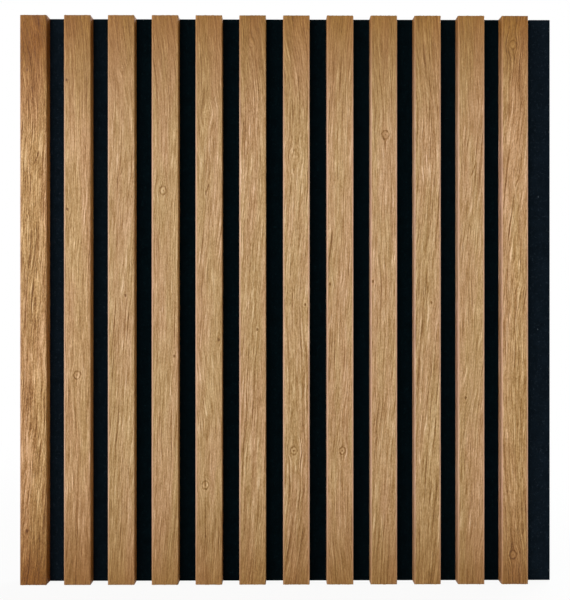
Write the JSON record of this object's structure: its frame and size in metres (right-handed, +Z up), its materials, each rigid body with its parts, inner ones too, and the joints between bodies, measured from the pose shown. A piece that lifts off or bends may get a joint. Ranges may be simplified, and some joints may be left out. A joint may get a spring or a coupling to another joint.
{
  "type": "acoustic slat wall panel",
  "caption": "Flat wall panel of upright oak-veneered slats, spaced evenly on a black felt board that damps sound and fixes flat to a wall.",
  "frame": {"origin": "centre of the felt board's back face, which lies against the wall", "axes": "+X across the slats to the right as seen from the room, +Y into the wall, +Z up along the slats"},
  "size_m": [0.6, 0.021, 0.64],
  "materials": {
    "felt": "matt pressed fibre",
    "oak_veneer": "satin lacquer",
    "fibreboard": "sawn",
    "staple_steel": "bright zinc"
  },
  "bodies": {
    "root": {"backing_felt": "felt", "staples": "staple_steel", "slat_01_core": "fibreboard", "slat_01_veneer": "oak_veneer", "slat_02_core": "fibreboard", "slat_02_veneer": "oak_veneer", "slat_03_core": "fibreboard", "slat_03_veneer": "oak_veneer", "slat_04_core": "fibreboard", "slat_04_veneer": "oak_veneer", "slat_05_core": "fibreboard", "slat_05_veneer": "oak_veneer", "slat_06_core": "fibreboard", "slat_06_veneer": "oak_veneer", "slat_07_core": "fibreboard", "slat_07_veneer": "oak_veneer", "slat_08_core": "fibreboard", "slat_08_veneer": "oak_veneer", "slat_09_core": "fibreboard", "slat_09_veneer": "oak_veneer", "slat_10_core": "fibreboard", "slat_10_veneer": "oak_veneer", "slat_11_core": "fibreboard", "slat_11_veneer": "oak_veneer", "slat_12_core": "fibreboard", "slat_12_veneer": "oak_veneer"}
  },
  "joints": []
}
